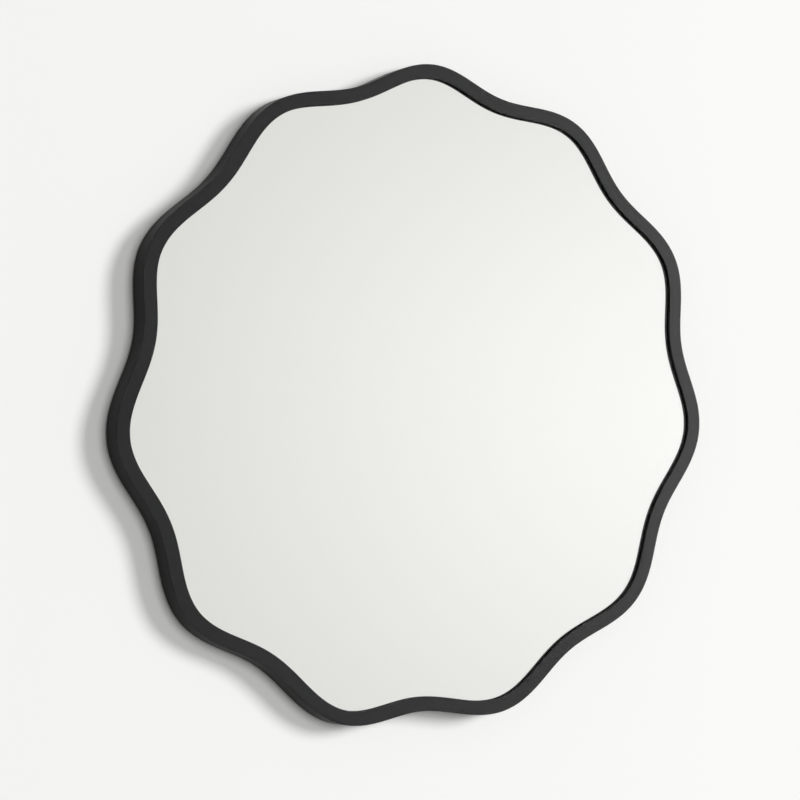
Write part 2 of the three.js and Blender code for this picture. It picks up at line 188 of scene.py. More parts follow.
class FixingSettings(bpy.types.PropertyGroup):
    """Sizes and colours of the brackets, hangers, screws and bumpers."""

    bracket_sheet: length("Bracket sheet", "Thickness of the angle brackets", 0.0016)
    bracket_bend: length("Bracket bend", "Outer radius of the bend", 0.0024)
    strap_sheet: length("Strap sheet", "Thickness of the strap hangers", 0.0015)
    strap_corner: length("Strap corner", "Rounding of the strap's lower end", 0.007)
    roll_end: angle("Roll end", "Where the rolled eye stops round the swing axis", 200)
    screw_hole: length("Screw hole", "Radius of the holes in brackets and straps", 0.00205)
    hole_margin: length("Hole margin", "Flat metal kept round a hole before a bend", 0.0055)
    sheet_edge: length("Sheet edge", "Rounding of the sheared edges", 0.00022)
    wire: length("Wire radius", "Radius of the ring's wire", 0.0018)
    ring_corner: length("Ring corner", "Centre-line radius beside the straight bar", 0.0035)
    ring_leg: length("Ring leg", "Straight leg between corner and bow", 0.004)
    butt_gap: length("Butt gap", "Gap where the wire's ends meet inside the eye", 0.0004)
    screw: length("Screw radius", "Crest of the thread", 0.00175)
    screw_core: length("Screw core", "Radius of the core", 0.0012)
    screw_length: length("Screw length", "Seat of the head to the tip", 0.009)
    screw_point: length("Screw point", "Length of the tapered tip", 0.0025)
    screw_pitch: length("Screw pitch", "From turn to turn of the thread", 0.0013)
    screw_head: length("Head radius", "Radius of the pan head", 0.0035)
    screw_head_height: length("Head height", "Seat to the top of the head", 0.002)
    screw_head_rounding: length("Head rounding", "Rounding of the head's rim", 0.001)
    bumper_taper: length("Bumper taper", "How much narrower the bumper is at the wall", 0.0003)
    bumper_rounding: length("Bumper rounding", "Rounding of the bumper's rim", 0.0007)
    zinc_bright: colour("Bright zinc", "Zinc plating", (0.60, 0.615, 0.64))
    zinc_dull: colour("Dull zinc", "Zinc plating where it is dull", (0.44, 0.445, 0.45))
    nickel_bright: colour("Bright nickel", "Nickel plating", (0.66, 0.63, 0.575))
    nickel_dull: colour("Dull nickel", "Nickel plating where it is handled", (0.50, 0.47, 0.42))
    rubber: colour("Rubber", "Moulded rubber", (0.012, 0.012, 0.012))
    rubber_dust: colour("Rubber bloom", "Pale bloom on the rubber", (0.04, 0.04, 0.038))
    black_foam: colour("Black foam", "Closed-cell bedding tape", (0.010, 0.010, 0.010))
    white_foam: colour("White foam", "Double-sided mounting foam", (0.72, 0.715, 0.68))


class StudioSettings(bpy.types.PropertyGroup):
    """Camera, lamps, wall and the room that the mirror shows."""

    azimuth: angle("Camera azimuth", "Turn of the camera round the mirror", -28)
    elevation: angle("Camera elevation", "Height of the camera above the horizon", -2.93)
    distance: length("Camera distance", "Camera to the middle of the mirror", 4.110)
    lens: FloatProperty(name="Lens", description="Focal length", default=133.8, unit="CAMERA")
    aim_left: length("Aim left", "How far left of the mirror's middle the camera aims", 0.0316)
    aim_down: length("Aim down", "How far below the mirror's middle the camera aims", 0.0112)
    key_azimuth: angle("Key azimuth", "Direction of the key light, from the front to the right", 44)
    key_elevation: angle("Key elevation", "Height of the key light", 14)
    key_softness: angle("Key softness", "Angle that the key light fills", 19)
    key_energy: amount("Key energy", "Strength of the key light", 2.05)
    fill_azimuth: angle("Fill azimuth", "Direction of the light from the front", 6)
    fill_elevation: angle("Fill elevation", "Height of the light from the front", 4)
    fill_softness: angle("Fill softness", "Angle that the light from the front fills", 26)
    fill_energy: amount("Fill energy", "Strength of the light from the front", 1.15)
    back_azimuth: angle("Back light azimuth", "Direction of the light on the back", 155)
    back_elevation: angle("Back light elevation", "Height of the light on the back", 28)
    back_energy: amount("Back light energy", "Strength of the light on the back", 2.4)
    ambient: amount("Ambient", "Even light from all round", 0.18)
    backdrop: amount("Backdrop", "Brightness of the background past the wall", 0.95, 1.0)
    # The wall's tone from left to right is painted light: shaded on the left, lit on the right.
    wall_shade_left: colour("Wall left", "Wall paint on the left of the mirror", (0.900, 0.900, 0.885))
    wall_light_right: colour("Wall right", "Wall paint on the right of the mirror", (0.955, 0.955, 0.940))
    wall_light_falloff: length("Wall blend", "How far to each side the wall's tone goes on changing", 0.55)
    room_dim: colour("Dim room", "Room in the mirror away from the daylight", (0.664, 0.668, 0.640))
    room_bright: colour("Bright room", "Room in the mirror by the daylight", (1.03, 1.03, 1.02), 2.0)
    daylight_start: angle("Daylight start", "Direction where the mirror begins to show daylight", 16)
    daylight_full: angle("Daylight full", "Direction where the daylight is full", 35)
    window_height: angle("Window height", "Middle of the daylight in the mirror", 2.6)
    window_reach: angle("Window reach", "How far the daylight spreads up and down", 8.5)
    ceiling: colour("Ceiling", "Room overhead", (1.25, 1.25, 1.22), 2.0)
    ceiling_start: angle("Ceiling start", "Height where the ceiling begins to show", 14)
    ceiling_full: angle("Ceiling full", "Height from which all is ceiling", 50)
    carpet: colour("Carpet", "Room underfoot", (0.15, 0.14, 0.125))
    carpet_start: angle("Carpet start", "Depth below the horizon where the carpet begins", 8)
    carpet_full: angle("Carpet full", "Depth from which all is carpet", 38)
    sheen: amount("Sheen", "Brightness of the light that satin surfaces show", 85.0, 200.0)
    sheen_azimuth: angle("Sheen azimuth", "Direction of that light, from the front to the right", 47)
    sheen_elevation: angle("Sheen elevation", "Height of that light", 4)
    sheen_radius: angle("Sheen radius", "Half the angle that it fills", 9.5)


SETTINGS = {
    "mirror_frame_ring": FrameRingSettings,
    "mirror_plates": PlateSettings,
    "mirror_fixings": FixingSettings,
    "mirror_studio": StudioSettings,
}


# ---------------------------------------------------------------- shader helpers


class Wire:
    """An output socket that can be used in Python expressions; each operation adds its Math node."""

    def __init__(self, shader, socket):
        self.shader = shader
        self.socket = socket

    def math(self, operation, *values):
        sockets = dict(enumerate(values))
        return self.shader.add("ShaderNodeMath", {"operation": operation}, sockets)

    def __add__(self, other):
        return self.math("ADD", self, other)

    def __sub__(self, other):
        return self.math("SUBTRACT", self, other)

    def __rsub__(self, other):
        return self.math("SUBTRACT", other, self)

    def __mul__(self, other):
        return self.math("MULTIPLY", self, other)

    def __truediv__(self, other):
        return self.math("DIVIDE", self, other)

    __radd__ = __add__
    __rmul__ = __mul__


class Shader:
    """A node tree of a material or the world, with one method that adds any node."""

    def __init__(self, owner):
        owner.use_nodes = True
        self.tree = owner.node_tree
        self.tree.nodes.clear()

    @staticmethod
    def find(sockets, name):
        if isinstance(name, int):
            return sockets[name]
        return next(socket for socket in sockets if socket.enabled and socket.name == name)

    def add(self, kind, settings=None, sockets=None, result=0):
        node = self.tree.nodes.new(kind)
        for name, value in (settings or {}).items():
            setattr(node, name, value)
        for name, value in (sockets or {}).items():
            socket = self.find(node.inputs, name)
            if isinstance(value, Wire):
                self.tree.links.new(value.socket, socket)
            elif socket.type == "RGBA":
                socket.default_value = (*value, 1.0)
            else:
                socket.default_value = value
        return Wire(self, self.find(node.outputs, result)) if len(node.outputs) else None

    def coordinates(self, output="Object", stretch=None):
        place = self.add("ShaderNodeTexCoord", result=output)
        if stretch is None:
            return place
        return self.add("ShaderNodeMapping", sockets={"Vector": place, "Scale": stretch})

    def axes(self, output="Object"):
        place = self.coordinates(output)
        return [
            self.add("ShaderNodeSeparateXYZ", sockets={"Vector": place}, result=axis)
            for axis in ("X", "Y", "Z")
        ]

    def noise(self, scale, detail=2.0, roughness=0.5, distortion=0.0, stretch=None):
        sockets = {
            "Vector": self.coordinates(stretch=stretch),
            "Scale": scale,
            "Detail": detail,
            "Roughness": roughness,
            "Distortion": distortion,
        }
        return self.add("ShaderNodeTexNoise", sockets=sockets)

    def cells(self, scale):
        sockets = {"Vector": self.coordinates(), "Scale": scale}
        return self.add("ShaderNodeTexVoronoi", sockets=sockets)

    def fit(self, value, low, high, start=0.0, end=1.0, curve="SMOOTHSTEP"):
        sockets = {"Value": value, "From Min": low, "From Max": high, "To Min": start, "To Max": end}
        return self.add("ShaderNodeMapRange", {"interpolation_type": curve}, sockets)

    def blend(self, factor, first, second):
        sockets = {"Factor": factor, "A": first, "B": second}
        return self.add("ShaderNodeMix", {"data_type": "RGBA"}, sockets, "Result")

    def attribute(self, name):
        return self.add("ShaderNodeAttribute", {"attribute_name": name}, result="Fac")

    def bump(self, height, distance, strength=1.0):
        sockets = {"Strength": strength, "Distance": distance, "Height": height}
        return self.add("ShaderNodeBump", sockets=sockets)

    def principled(self, **sockets):
        named = {name.replace("_", " "): value for name, value in sockets.items()}
        self.output(self.add("ShaderNodeBsdfPrincipled", sockets=named))

    def output(self, surface, kind="ShaderNodeOutputMaterial"):
        self.add(kind, sockets={"Surface": surface})


def material(build):
    """The material that a finish function describes, made once and named after the function."""
    name = f"{build.__name__}_finish"
    found = bpy.data.materials.get(name)
    if found is None:
        found = bpy.data.materials.new(name)
        build(Shader(found))
    return found


# ---------------------------------------------------------------- finishes


def black_lacquer(shader):
    """Satin black spray lacquer: clouded film, orange peel, and burnished front arrises whose lighter
    colour is also a painted highlight line.
    """
    tones = bpy.context.scene.mirror_frame_ring
    cloud = shader.noise(7.0, detail=3.0)
    peel = shader.noise(620.0, detail=1.5)
    nibs = shader.fit(shader.noise(1500.0, detail=1.0), 0.60, 0.72)
    # Front-arris mask: burnished wear, and a lighter colour that paints a highlight line along the
    # arrises.
    wear_and_highlight = shader.attribute("arris") * shader.fit(shader.noise(38.0, detail=4.0), 0.40, 0.62, 0.15, 1.0)
    film = shader.blend(cloud, tones.deep_black, tones.lifted_black)
    shader.principled(
        Base_Color=shader.blend(wear_and_highlight, film, tones.burnished_highlight_black),
        Roughness=0.35 + cloud * 0.06 + nibs * 0.05 - wear_and_highlight * 0.05,
        Specular_IOR_Level=0.05,
        Normal=shader.bump(peel + nibs * 0.5, 0.00002, 0.35),
    )


def clear_glass(shader):
    """Clear float glass with its faint green tint drifting across the pane."""
    tones = bpy.context.scene.mirror_plates
    shader.principled(
        Base_Color=shader.blend(shader.noise(2.5), tones.glass_clear, tones.glass_tinted),
        Roughness=0.0,
        IOR=1.52,
        Transmission_Weight=1.0,
    )


def silvering(shader):
    """Chemically silvered face, a touch uneven."""
    tones = bpy.context.scene.mirror_plates
    drift = shader.noise(3.0)
    shader.principled(
        Base_Color=shader.blend(drift, tones.silver, tones.silver_thin),
        Metallic=1.0,
        Roughness=0.0,
    )


def mirror_back_paint(shader):
    """Roller-coated grey paint that protects the silver from behind."""
    tones = bpy.context.scene.mirror_plates
    stipple = shader.noise(450.0, detail=3.0)
    shade = shader.blend(stipple, tones.back_paint, Vector(tones.back_paint) * 1.25)
    shader.principled(
        Base_Color=shade, Roughness=0.5 + stipple * 0.15, Normal=shader.bump(stipple, 0.00004, 0.5)
    )


def fibreboard(shader):
    """Medium-density fibreboard: matted fibres, resin specks and a sanded, slightly mottled face."""
    tones = bpy.context.scene.mirror_plates
    mottle = shader.noise(26.0, detail=3.0)
    matted = shader.noise(520.0, detail=3.0, roughness=0.6, distortion=1.1)
    dust = shader.noise(1900.0, detail=1.0)
    fibres = shader.fit(matted, 0.34, 0.66)
    tone = fibres * 0.32 + mottle * 0.26 + dust * 0.42
    specks = shader.fit(shader.cells(210.0), 0.05, 0.12, 1.0, 0.0) * shader.fit(mottle, 0.35, 0.6)
    board = shader.blend(tone, tones.board_dark, tones.board_light)
    shader.principled(
        Base_Color=shader.blend(specks * 0.55, board, Vector(tones.board_dark) * 0.6),
        Roughness=0.74 + dust * 0.16,
        Normal=shader.bump(fibres + dust * 0.6, 0.00009, 0.6),
    )


def plated(shader, bright, dull, roughness, grain, lustre):
    """Plated steel: rolling grain, cloudy plating and handling marks."""
    cloud = shader.noise(85.0, detail=4.0)
    rolled = shader.noise(grain, detail=2.0, stretch=(1.0, 1.0, 0.06))
    marks = shader.fit(shader.noise(240.0, detail=5.0, roughness=0.7), 0.52, 0.70)
    shader.principled(
        Base_Color=shader.blend(cloud * 0.6 + marks * 0.4, bright, dull),
        Metallic=1.0,
        Roughness=roughness + cloud * lustre + marks * 0.10 + rolled * 0.06,
        Normal=shader.bump(rolled + marks * 0.4, 0.000012, 0.7),
    )


def zinc_plated_steel(shader):
    """Bright zinc on pressed sheet, slightly blue and grained."""
    tones = bpy.context.scene.mirror_fixings
    plated(shader, tones.zinc_bright, tones.zinc_dull, 0.26, 2600.0, 0.16)


def zinc_plated_screw(shader):
    """Bright zinc on cold-headed wire, turned rather than rolled."""
    tones = bpy.context.scene.mirror_fixings
    plated(shader, tones.zinc_bright, tones.zinc_dull, 0.22, 4200.0, 0.12)


def nickel_plated_steel(shader):
    """Warm, smoother nickel on strap and wire, dulled by fingers."""
    tones = bpy.context.scene.mirror_fixings
    plated(shader, tones.nickel_bright, tones.nickel_dull, 0.17, 3200.0, 0.13)


def black_rubber(shader):
    """Moulded rubber with a fine grain and a pale bloom."""
    tones = bpy.context.scene.mirror_fixings
    grain = shader.noise(2600.0, detail=2.0)
    bloom = shader.fit(shader.noise(420.0, detail=4.0), 0.48, 0.72)
    shader.principled(
        Base_Color=shader.blend(bloom, tones.rubber, tones.rubber_dust),
        Roughness=0.62 + bloom * 0.25,
        Normal=shader.bump(grain, 0.00004, 0.7),
    )


def foam(shader, base, shade):
    """Closed-cell foam: cut cells with grooves along their walls, darkened there as painted shade."""
    cells = shader.cells(1300.0)
    drift = shader.noise(60.0, detail=3.0)
    hollow = shader.fit(cells, 0.1, 0.7)
    shader.principled(
        # Painted shade: the colour darkens into the grooves along the cell walls.
        Base_Color=shader.blend(hollow * 0.6 + drift * 0.4, base, shade),
        Roughness=0.85 + hollow * 0.1,
        Normal=shader.bump(1 - hollow, 0.00012, 0.8),
    )


def black_foam_tape(shader):
    """Black closed-cell bedding tape."""
    base = Vector(bpy.context.scene.mirror_fixings.black_foam)
    foam(shader, base * 1.8, base)


def white_foam_tape(shader):
    """White double-sided mounting foam, a little yellowed."""
    base = Vector(bpy.context.scene.mirror_fixings.white_foam)
    foam(shader, base, base * 0.82)


# ---------------------------------------------------------------- mesh helpers


def add_piece(name, bm, finishes, body, replaced):
    """Turns a bmesh into a piece: soft shading with sharp creases, finishes and body, and hides the CAD
    node that it replaces.
    """
    if bm.calc_volume(signed=True) < 0:
        bmesh.ops.reverse_faces(bm, faces=bm.faces)
    bm.normal_update()
    for face in bm.faces:
        face.smooth = True
    for edge in bm.edges:
        flat_side = any(len(face.verts) > LARGEST_CURVED for face in edge.link_faces)
        edge.smooth = edge.calc_face_angle(0.0) < SHARP_ANGLE and not flat_side
    mesh = bpy.data.meshes.new(name)
    bm.to_mesh(mesh)
    bm.free()
    for finish in finishes:
        mesh.materials.append(material(finish))
    piece = bpy.data.objects.new(name, mesh)
    bpy.context.scene.collection.objects.link(piece)
    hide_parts(replaced)
    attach(piece, body)
    return piece


def level_edges(bm, test):
    """Edges whose two ends both pass the test."""
    return [edge for edge in bm.edges if all(test(vert) for vert in edge.verts)]


def round_edges(bm, edges, offset, segments):
    bmesh.ops.bevel(
        bm, geom=edges, offset=offset, offset_type="OFFSET", segments=segments, profile=0.5,
        affect="EDGES", material=-1, clamp_overlap=True,
    )


def depth_levels(node):
    low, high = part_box(node)
    return low.y, high.y


def middle(node):
    low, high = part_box(node)
    return (low + high) / 2


def corner_points(node):
    """The places of a CAD node's vertices, each once."""
    found = {}
    for vert in NODES[node].data.vertices:
        found[tuple(round(axis / SAME_POINT) for axis in vert.co)] = vert.co
    return list(found.values())


# ---------------------------------------------------------------- the wavy edge


class WavyEdge:
    """The frame's outer edge as stations, each with its place in the mirror's plane and inward normal."""

    def __init__(self):
        """Takes the frame's outer ring, and adds a station between each two on a smooth curve."""
        rim = self.outer_ring()
        low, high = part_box("frame")
        finer = []
        for before, here, after, last in zip(rim[-1:] + rim, rim, rim[1:] + rim[:1], rim[2:] + rim[:2]):
            between = (9 * (here + after) - (before + last)) / 16
            between.x = min(max(between.x, low.x), high.x)
            between.y = min(max(between.y, low.z), high.z)
            finer += [here, between]
        self.count = len(finer)
        self.step = math.tau / self.count
        self.stations = []
        for before, here, after in zip(finer[-1:] + finer, finer, finer[1:] + finer[:1]):
            along = (after - before).normalized()
            self.stations.append((here, Vector((-along.y, along.x))))

    @staticmethod
    def outer_ring():
        """Outer vertices of the frame node just before its rear chamfer, in order round the mirror."""
        points = corner_points("frame")
        levels = sorted({round(point.y / SAME_LEVEL) for point in points})
        level = [point for point in points if round(point.y / SAME_LEVEL) == levels[-2]]
        ring = [Vector((point.x, point.z)) for point in level]
        return sorted(ring, key=lambda point: math.atan2(point.y, point.x) % math.tau)

    def lay(self, bm):
        """Carries a round blank onto the edge, by its vertices' turn and distance inside its rim."""
        for vert in bm.verts:
            station = round(math.atan2(vert.co.z, vert.co.x) / self.step) % self.count
            inset = BLANK_REACH - math.hypot(vert.co.x, vert.co.z)
            place, inward = self.stations[station]
            vert.co.x, vert.co.z = place + inward * inset


def round_blank(edge, inset, front, cap):
    """A circle at one depth, with a station for each station of the wavy edge."""
    bm = bmesh.new()
    place = Matrix.Translation((0, front, 0)) @ Matrix.Rotation(QUARTER_TURN, 4, "X")
    bmesh.ops.create_circle(
        bm, cap_ends=cap, segments=edge.count, radius=BLANK_REACH - inset, matrix=place
    )
    return bm


# ---------------------------------------------------------------- frame ring


def ring_section(sizes, front, rear):
    """Corners of the frame's section as (inset, depth, rounding, rounding steps)."""
    small = (sizes.edge_break, 2)
    arris = (sizes.arris, sizes.arris_steps)
    return [
        (0.0, front, *arris),
        (sizes.face_width, front, *arris),
        (sizes.face_width, front + sizes.lip, *small),
        (sizes.wall, front + sizes.lip, *small),
        (sizes.wall, rear, *small),
        (sizes.rear_chamfer, rear, *small),
        (0.0, rear - sizes.rear_chamfer, *small),
    ]


def supported(section, support):
    """The section with a point just outside each rounding, so that flat faces shade flat."""
    corners = [Vector(corner[:2]) for corner in section]
    points = []
    for index, (corner, (_, _, rounding, _)) in enumerate(zip(corners, section)):
        before = (corners[index - 1] - corner).normalized()
        after = (corners[(index + 1) % len(corners)] - corner).normalized()
        reach = rounding + support
        points += [corner + before * reach, corner, corner + after * reach]
    return points


def corner_edges(bm, reach, depth):
    """Edges round the ring that lie on one corner of its section."""

    def on_corner(vert):
        off = math.hypot(math.hypot(vert.co.x, vert.co.z) - reach, vert.co.y - depth)
        return off < SAME_LEVEL

    return level_edges(bm, on_corner)


def frame_ring(sizes, edge):
    """The frame's section spun into a round ring, its corners rounded, and laid on the wavy edge."""
    front, rear = depth_levels("frame")
    section = ring_section(sizes, front, rear)
    bm = bmesh.new()
    corners = [
        bm.verts.new((BLANK_REACH - inset, depth, 0))
        for inset, depth in supported(section, sizes.support)
    ]
    sides = [bm.edges.new(pair) for pair in zip(corners, corners[1:] + corners[:1])]
    bmesh.ops.spin(
        bm, geom=corners + sides, cent=(0, 0, 0), axis=-TO_WALL, angle=math.tau,
        steps=edge.count, use_merge=True,
    )
    for inset, depth, rounding, steps in section:
        round_edges(bm, corner_edges(bm, BLANK_REACH - inset, depth), rounding, steps)
    # Marks the front arrises, which the lacquer lightens both as wear and as a painted highlight.
    arris_wear_highlight_layer = bm.verts.layers.float.new("arris")
    for vert in bm.verts:
        inset = BLANK_REACH - math.hypot(vert.co.x, vert.co.z)
        arris_side = min(inset, sizes.face_width - inset) < sizes.arris + SAME_LEVEL
        vert[arris_wear_highlight_layer] = 1.0 if arris_side and vert.co.y < front + sizes.arris + SAME_LEVEL else 0.0
    edge.lay(bm)
    bmesh.ops.recalc_face_normals(bm, faces=bm.faces)
    return bm


# ---------------------------------------------------------------- plates


def wavy_plate(edge, inset, node, edge_break):
    """A plate between a node's two depths, with the wavy outline and broken edges."""
    front, rear = depth_levels(node)
    bm = round_blank(edge, inset, front, cap=True)
    thickened = bmesh.ops.extrude_face_region(bm, geom=bm.faces[:])["geom"]
    raised = [item for item in thickened if isinstance(item, bmesh.types.BMVert)]
    bmesh.ops.translate(bm, verts=raised, vec=TO_WALL * (rear - front))
    rims = [ring for ring in bm.edges if abs(ring.verts[0].co.y - ring.verts[1].co.y) < SAME_POINT]
    round_edges(bm, rims, edge_break, 2)
    edge.lay(bm)
    bmesh.ops.recalc_face_normals(bm, faces=bm.faces)
    return bm


# ---------------------------------------------------------------- bent sheet metal


def drawn_out(bm, edges):
    """Extrudes edges and returns the new vertices, which still lie on the old ones."""
    made = bmesh.ops.extrude_edge_only(bm, edges=edges)["geom"]
    return [item for item in made if isinstance(item, bmesh.types.BMVert)]


def edges_between(verts):
    """The edges whose two ends are both among the given vertices."""
    chosen = set(verts)
    return list({edge for vert in verts for edge in vert.link_edges if chosen.issuperset(edge.verts)})


def holed_cell(bm, half, low, hole, high, radius):
    """Flat cell of a strip round one hole: an open circle drawn out to the cell's rectangle."""
    place = Matrix.Translation((0, hole, 0))
    rim = bmesh.ops.create_circle(bm, segments=HOLE_SIDES, radius=radius, matrix=place)["verts"]
    for vert in drawn_out(bm, list({edge for vert in rim for edge in vert.link_edges})):
        across, along = vert.co.x, vert.co.y - hole
        largest = max(abs(across), abs(along))
        side = high - hole if along > 0 else hole - low
        vert.co.x = half * across / largest
        vert.co.y = hole + side * along / largest


def run_on(bm, level, levels):
    """Carries the strip on from its end at one level through the given levels."""
    for further in levels:
        end = level_edges(bm, lambda vert: abs(vert.co.y - level) < SAME_POINT)
        bmesh.ops.translate(bm, verts=drawn_out(bm, end), vec=(0, further - level, 0))
        level = further


def spread(start, end, steps):
    """Evenly spaced levels after the start, up to and with the end."""
    return [start + (end - start) * step / steps for step in range(1, steps + 1)]


def round_corners(bm, half, corner):
    """Rounds the two corners at the strip's start: each square corner zone becomes a quarter disc."""
    for vert in bm.verts:
        off = Vector((abs(vert.co.x) - (half - corner), corner - vert.co.y))
        if min(off) > SAME_POINT:
            off *= max(off) / off.length
            vert.co.x = math.copysign(half - corner + off.x, vert.co.x)
            vert.co.y = corner - off.y


def thicken(bm, sheet, edge_break):
    """Gives the flat strip its thickness towards +Z and rounds its sheared edges."""
    raised = bmesh.ops.extrude_face_region(bm, geom=bm.faces[:])["geom"]
    verts = [item for item in raised if isinstance(item, bmesh.types.BMVert)]
    bmesh.ops.translate(bm, verts=verts, vec=UP * sheet)
    bmesh.ops.recalc_face_normals(bm, faces=bm.faces)
    sheared = [edge for edge in bm.edges if edge.calc_face_angle(0.0) > SHARP_ANGLE]
    round_edges(bm, sheared, edge_break, 2)


def bend(bm, start, outer, sheet, turn, centre):
    """Bends the strip, which lies along +Y, into the plane of local +Y (depth) and +Z (up).

    The strip's outer face keeps the outer radius, and the straight run before the bend ends at start.
    """
    neutral = outer - sheet / 2
    for vert in bm.verts:
        along, height = vert.co.y, vert.co.z
        turned = min(max((along - start) / neutral, 0.0), turn)
        beyond = along - start - turned * neutral
        reach = outer - height
        vert.co.y = centre[0] - reach * math.cos(turned) + beyond * math.sin(turned)
        vert.co.z = centre[1] + reach * math.sin(turned) + beyond * math.cos(turned)
    bmesh.ops.recalc_face_normals(bm, faces=bm.faces)


def bracket_station(number):
    """Where an angle bracket sits: its bent corner, and the direction outwards through its screws."""
    board_screw = middle(f"bracket_board_screw_{number}")
    flat = Vector((1, 0, 1))
    tip = max(
        corner_points(f"bracket_frame_screw_{number}"),
        key=lambda point: ((point - board_screw) * flat).length,
    )
    outwards = ((tip - board_screw) * flat).normalized()
    points = corner_points(f"bracket_{number}")
    wall = max(outwards.dot(point) for point in points)
    corner = board_screw + outwards * (wall - outwards.dot(board_screw))
    corner.y = min(point.y for point in points)
    return corner, outwards


def standing(place, outwards):
    """Matrix that puts local +Z outwards, local +Y towards the wall and the origin in place."""
    across = TO_WALL.cross(outwards)
    turned = Matrix((across, TO_WALL, outwards)).transposed()
    return Matrix.Translation(place) @ turned.to_4x4()


def angle_bracket(sizes, number):
    """Pressed angle: a flat blank with two holes, thickened, bent and stood at its station."""
    corner, outwards = bracket_station(number)
    across = TO_WALL.cross(outwards)
    points = corner_points(f"bracket_{number}")
    extent = [
        max(axis.dot(point) for point in points) - min(axis.dot(point) for point in points)
        for axis in (across, outwards, TO_WALL)
    ]
    width, board_leg, wall_leg = extent
    outer, sheet = sizes.bracket_bend, sizes.bracket_sheet
    straight = board_leg - outer
    arc = (outer - sheet / 2) * QUARTER_TURN
    total = straight + arc + wall_leg - outer
    board_hole = board_leg + outwards.dot(middle(f"bracket_board_screw_{number}") - corner)
    wall_hole = total - board_hole
    bm = bmesh.new()
    holed_cell(bm, width / 2, 0.0, board_hole, board_hole + sizes.hole_margin, sizes.screw_hole)
    run_on(bm, board_hole + sizes.hole_margin, [straight])
    run_on(bm, straight, spread(straight, straight + arc, BRACKET_BEND_STEPS))
    run_on(bm, straight + arc, [wall_hole - sizes.hole_margin])
    holed_cell(bm, width / 2, wall_hole - sizes.hole_margin, wall_hole, total, sizes.screw_hole)
    bmesh.ops.remove_doubles(bm, verts=bm.verts, dist=SAME_POINT)
    thicken(bm, sheet, sizes.sheet_edge)
    bend(bm, straight, outer, sheet, QUARTER_TURN, (outer, -outer))
    bmesh.ops.transform(bm, matrix=standing(corner, outwards), verts=bm.verts)
    return bm


def strap_hanger(sizes, side):
    """Strap with a rounded lower end, two holes and its top rolled round the ring's straight bar."""
    axis = Vector(JOINTS[f"ring_{side}_swing"]["pos_m"])
    low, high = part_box(f"hanger_strap_{side}")
    sheet = sizes.strap_sheet
    half = (high.x - low.x) / 2
    straight = axis.z - low.z
    outer = axis.y - low.y
    turn = sizes.roll_end + QUARTER_TURN
    margin = sizes.strap_corner
    holes = [middle(f"hanger_screw_{side}_{place}").z - low.z for place in ("lower", "upper")]
    total = straight + turn * (outer - sheet / 2)
    bm = bmesh.new()
    holed_cell(bm, half, 0.0, holes[0], holes[0] + margin, sizes.screw_hole)
    run_on(bm, holes[0] + margin, [holes[1] - margin])
    holed_cell(bm, half, holes[1] - margin, holes[1], holes[1] + margin, sizes.screw_hole)
    run_on(bm, holes[1] + margin, [straight])
    bmesh.ops.remove_doubles(bm, verts=bm.verts, dist=SAME_POINT)
    run_on(bm, straight, spread(straight, total, ROLL_STEPS))
    round_corners(bm, half, sizes.strap_corner)
    thicken(bm, sheet, sizes.sheet_edge)
    bend(bm, straight, outer, sheet, turn, (0.0, 0.0))
    bmesh.ops.translate(bm, verts=bm.verts, vec=axis)
    return bm


# ---------------------------------------------------------------- wire rings


def drawn_wire(bm, loop, path):
    """Carries the wire's open end straight on."""
    verts = drawn_out(bm, loop)
    bmesh.ops.translate(bm, verts=verts, vec=path)
    return edges_between(verts)


def bent_wire(bm, loop, centre, turn, steps):
    """Carries the wire's open end round a bend in the ring's plane."""
    verts = list({vert for edge in loop for vert in edge.verts})
    made = bmesh.ops.spin(
        bm, geom=verts + loop, cent=centre, axis=TO_WALL, angle=turn, steps=steps, use_merge=False
    )["geom_last"]
    return [item for item in made if isinstance(item, bmesh.types.BMEdge)]


def wire_ring(sizes, side):
    """Round wire bent into a D: straight bar in the eye, two corners, two legs and a bow."""
    low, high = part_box(f"hanger_ring_{side}")
    half = (high.x - low.x) / 2 - sizes.wire
    corner, leg, gap = sizes.ring_corner, sizes.ring_leg, sizes.butt_gap / 2
    bm = bmesh.new()
    place = Matrix.Translation((gap, 0, 0)) @ Matrix.Rotation(QUARTER_TURN, 4, "Y")
    rim = bmesh.ops.create_circle(bm, segments=WIRE_SIDES, radius=sizes.wire, matrix=place)["verts"]
    loop = list({edge for vert in rim for edge in vert.link_edges})
    loop = drawn_wire(bm, loop, ACROSS * (half - corner - gap))
    loop = bent_wire(bm, loop, (half - corner, 0, -corner), QUARTER_TURN, CORNER_STEPS)
    loop = drawn_wire(bm, loop, -UP * leg)
    loop = bent_wire(bm, loop, (0, 0, -corner - leg), HALF_TURN, BOW_STEPS)
    loop = drawn_wire(bm, loop, UP * leg)
    loop = bent_wire(bm, loop, (corner - half, 0, -corner), QUARTER_TURN, CORNER_STEPS)
    drawn_wire(bm, loop, ACROSS * (half - corner - gap))
    bmesh.ops.holes_fill(bm, edges=bm.edges, sides=WIRE_SIDES)
    bmesh.ops.recalc_face_normals(bm, faces=bm.faces)
    ends = [edge for edge in bm.edges if edge.calc_face_angle(0.0) > SHARP_ANGLE]
    round_edges(bm, ends, sizes.sheet_edge, 2)
    bmesh.ops.translate(bm, verts=bm.verts, vec=Vector(JOINTS[f"ring_{side}_swing"]["pos_m"]))
    return bm


# ---------------------------------------------------------------- screws


def cross_reach(turn):
    """Reach of the cross recess's outline, from its arms' tips to the corners between them."""
    off = abs((turn + QUARTER_TURN / 2) % QUARTER_TURN - QUARTER_TURN / 2)
    side = CROSS_ARM / max(math.sin(off), CROSS_ARM / CROSS_REACH)
    return min(side, CROSS_REACH)


